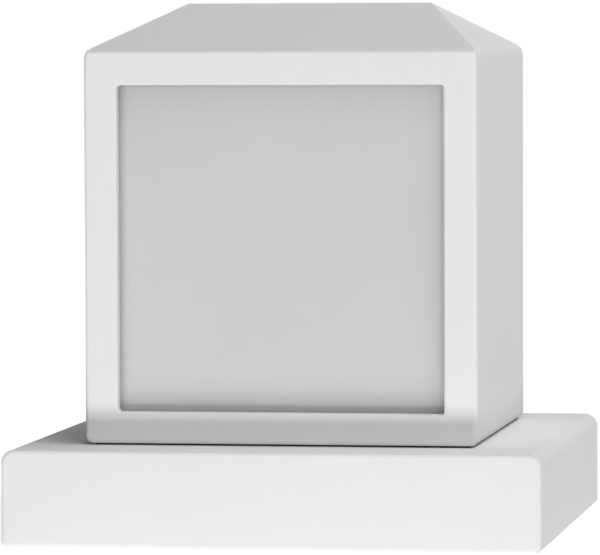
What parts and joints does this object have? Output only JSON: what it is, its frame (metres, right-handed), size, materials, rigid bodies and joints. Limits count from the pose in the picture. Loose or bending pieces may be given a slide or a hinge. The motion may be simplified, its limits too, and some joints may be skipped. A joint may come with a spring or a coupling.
{
  "type": "outdoor wall light",
  "caption": "Square white outdoor wall light: flat square wall plate and a cube-shaped head with a low hip roof and frosted square windows above and below.",
  "frame": {"origin": "middle of the wall side of the canopy, where it lies on the wall", "axes": "+Z points away from the wall, from canopy to roof ridge; the front window faces -Y and the rear window +Y. The part is stored as pictured, standing on its wall side. On a wall -Y points up."},
  "size_m": [0.12, 0.12, 0.1198],
  "materials": {
    "white_paint": "satin white powder coat on cast aluminium",
    "frosted_glass": "frosted, back-painted diffuser, unlit",
    "grey_silicone": "matt silicone",
    "black_rubber": "matt moulded rubber",
    "black_foam": "closed-cell foam",
    "zinc_steel": "bright zinc plate",
    "stainless": "stainless steel",
    "bare_aluminium": "mill finish",
    "brass": "turned brass",
    "terminal_plastic": "natural polyamide",
    "driver_plastic": "black potted case",
    "board_white": "white solder mask on aluminium board",
    "led_phosphor": "yellow phosphor, unlit",
    "brown_insulation": "silicone insulation",
    "blue_insulation": "silicone insulation",
    "earth_insulation": "green insulation",
    "red_insulation": "silicone insulation"
  },
  "bodies": {
    "root": {"canopy": "white_paint", "canopy_lock_screws": "stainless", "wall_gasket": "black_foam", "wall_bracket": "zinc_steel", "cable_grommet": "black_rubber", "bracket_earth_screw": "brass", "earth_cup_washer": "brass", "terminal_block": "terminal_plastic", "terminal_barrels": "brass", "terminal_clamp_screws": "zinc_steel", "terminal_fixing_screws": "zinc_steel", "neck_gasket": "black_rubber", "wire_bush": "black_rubber", "closing_plate": "bare_aluminium", "head_shell": "white_paint", "head_screws": "stainless", "front_glass": "frosted_glass", "front_glass_gasket": "grey_silicone", "rear_glass": "frosted_glass", "rear_glass_gasket": "grey_silicone", "led_carrier": "bare_aluminium", "carrier_screws": "zinc_steel", "front_led_board": "board_white", "front_led_chips": "led_phosphor", "front_board_screws": "zinc_steel", "front_connector": "terminal_plastic", "rear_led_board": "board_white", "rear_led_chips": "led_phosphor", "rear_board_screws": "zinc_steel", "rear_connector": "terminal_plastic", "led_driver": "driver_plastic", "driver_screws": "zinc_steel", "live_lead": "brown_insulation", "neutral_lead": "blue_insulation", "earth_lead": "earth_insulation", "earth_lug": "brass", "earth_lug_screw": "brass", "front_led_leads": "red_insulation", "rear_led_leads": "red_insulation"}
  },
  "joints": []
}
